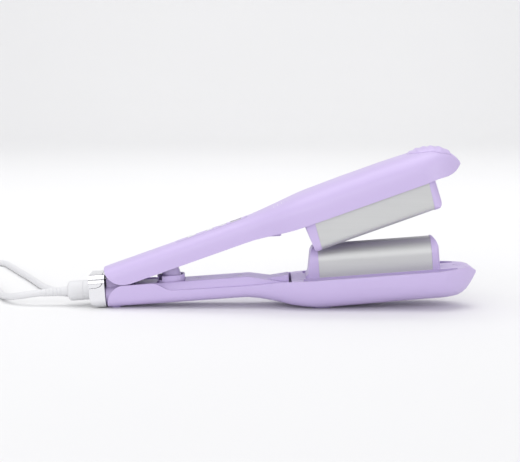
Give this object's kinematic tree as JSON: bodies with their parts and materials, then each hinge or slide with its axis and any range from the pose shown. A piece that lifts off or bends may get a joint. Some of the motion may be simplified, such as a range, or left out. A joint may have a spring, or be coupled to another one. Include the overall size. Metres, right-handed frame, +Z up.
{
  "type": "deep wave hair iron",
  "caption": "Hair waver with two hinged arms, facing heated barrels that mesh, a sprung hinge, a lock slide and a swivelling mains cord.",
  "frame": {"origin": "on the table under the middle of the tool's own length and width, cord left out", "axes": "+X from the cord end to the nose, +Y across the tool, +Z up"},
  "size_m": [0.4823, 0.26, 0.1371],
  "materials": {
    "casing": "satin lilac",
    "barrel": "fine brushed, ceramic coated",
    "chrome_trim": "polished",
    "steel": "plain",
    "white_flex": "soft white",
    "white_hard": "white",
    "heater": "fired",
    "dark_plastic": "black",
    "window": "dark gloss",
    "brass": "plated",
    "board": "green laminate",
    "feet": "soft lilac"
  },
  "bodies": {
    "lower_arm": {"lower_shell": "casing", "lower_handle_cover": "casing", "lower_tray": "casing", "lower_barrel": "barrel", "lower_cap_rear": "casing", "lower_cap_front": "casing", "lower_heater": "heater", "heater_clip": "steel", "thermal_fuse": "steel", "spring_cup": "casing", "hinge_block": "casing", "hinge_pin": "steel", "hinge_washers": "steel", "rest_feet": "feet", "lower_screws": "steel", "lower_wires": "white_flex", "collar_band": "chrome_trim", "swivel_bush": "dark_plastic", "return_spring": "steel", "cord": "white_flex", "cord_coil": "white_flex", "cord_tail": "white_flex", "coil_tie": "dark_plastic", "plug_body": "white_hard", "plug_pins": "brass"},
    "upper_arm": {"upper_shell": "casing", "upper_handle_cover": "casing", "upper_tray": "casing", "upper_barrels": "barrel", "upper_caps_rear": "casing", "upper_caps_front": "casing", "upper_heaters": "heater", "thermostat": "steel", "thumb_pad": "casing", "control_panel": "casing", "display_window": "window", "control_board": "board", "button_switches": "dark_plastic", "spring_sleeve": "casing", "upper_screws": "steel", "upper_wires": "white_flex"},
    "lock": {"lock_slide": "chrome_trim", "lock_bolt": "steel"},
    "swivel": {"swivel_boot": "white_flex", "strain_relief": "white_flex", "contact_pin": "brass"},
    "power_key": {"power_button": "white_hard"},
    "minus_key": {"minus_button": "white_hard"},
    "plus_key": {"plus_button": "white_hard"}
  },
  "joints": [
    {"name": "arm_hinge", "type": "hinge", "parent": "lower_arm", "child": "upper_arm", "pos_m": [-0.12527, 0, 0.03281], "axis": [0, 1, 0], "range_deg": [0, 12], "stiffness_Nm_per_rad": 2, "springref_deg": -14.32, "deforming": ["return_spring"]},
    {"name": "lock_travel", "type": "slide", "parent": "lower_arm", "child": "lock", "axis": [-0.9973, 0, -0.0732], "range_m": [0, 0.0025]},
    {"name": "cord_swivel", "type": "hinge", "parent": "lower_arm", "child": "swivel", "pos_m": [-0.15397, 0, 0.01406], "axis": [0.9973, 0, 0.0732], "continuous": true},
    {"name": "power_press", "type": "slide", "parent": "upper_arm", "child": "power_key", "axis": [0.3371, 0, -0.9415], "range_m": [0, 0.0006], "stiffness_N_per_m": 400, "springref_m": -0.0005},
    {"name": "minus_press", "type": "slide", "parent": "upper_arm", "child": "minus_key", "axis": [0.3371, 0, -0.9415], "range_m": [0, 0.0006], "stiffness_N_per_m": 400, "springref_m": -0.0005},
    {"name": "plus_press", "type": "slide", "parent": "upper_arm", "child": "plus_key", "axis": [0.3371, 0, -0.9415], "range_m": [0, 0.0006], "stiffness_N_per_m": 400, "springref_m": -0.0005}
  ]
}
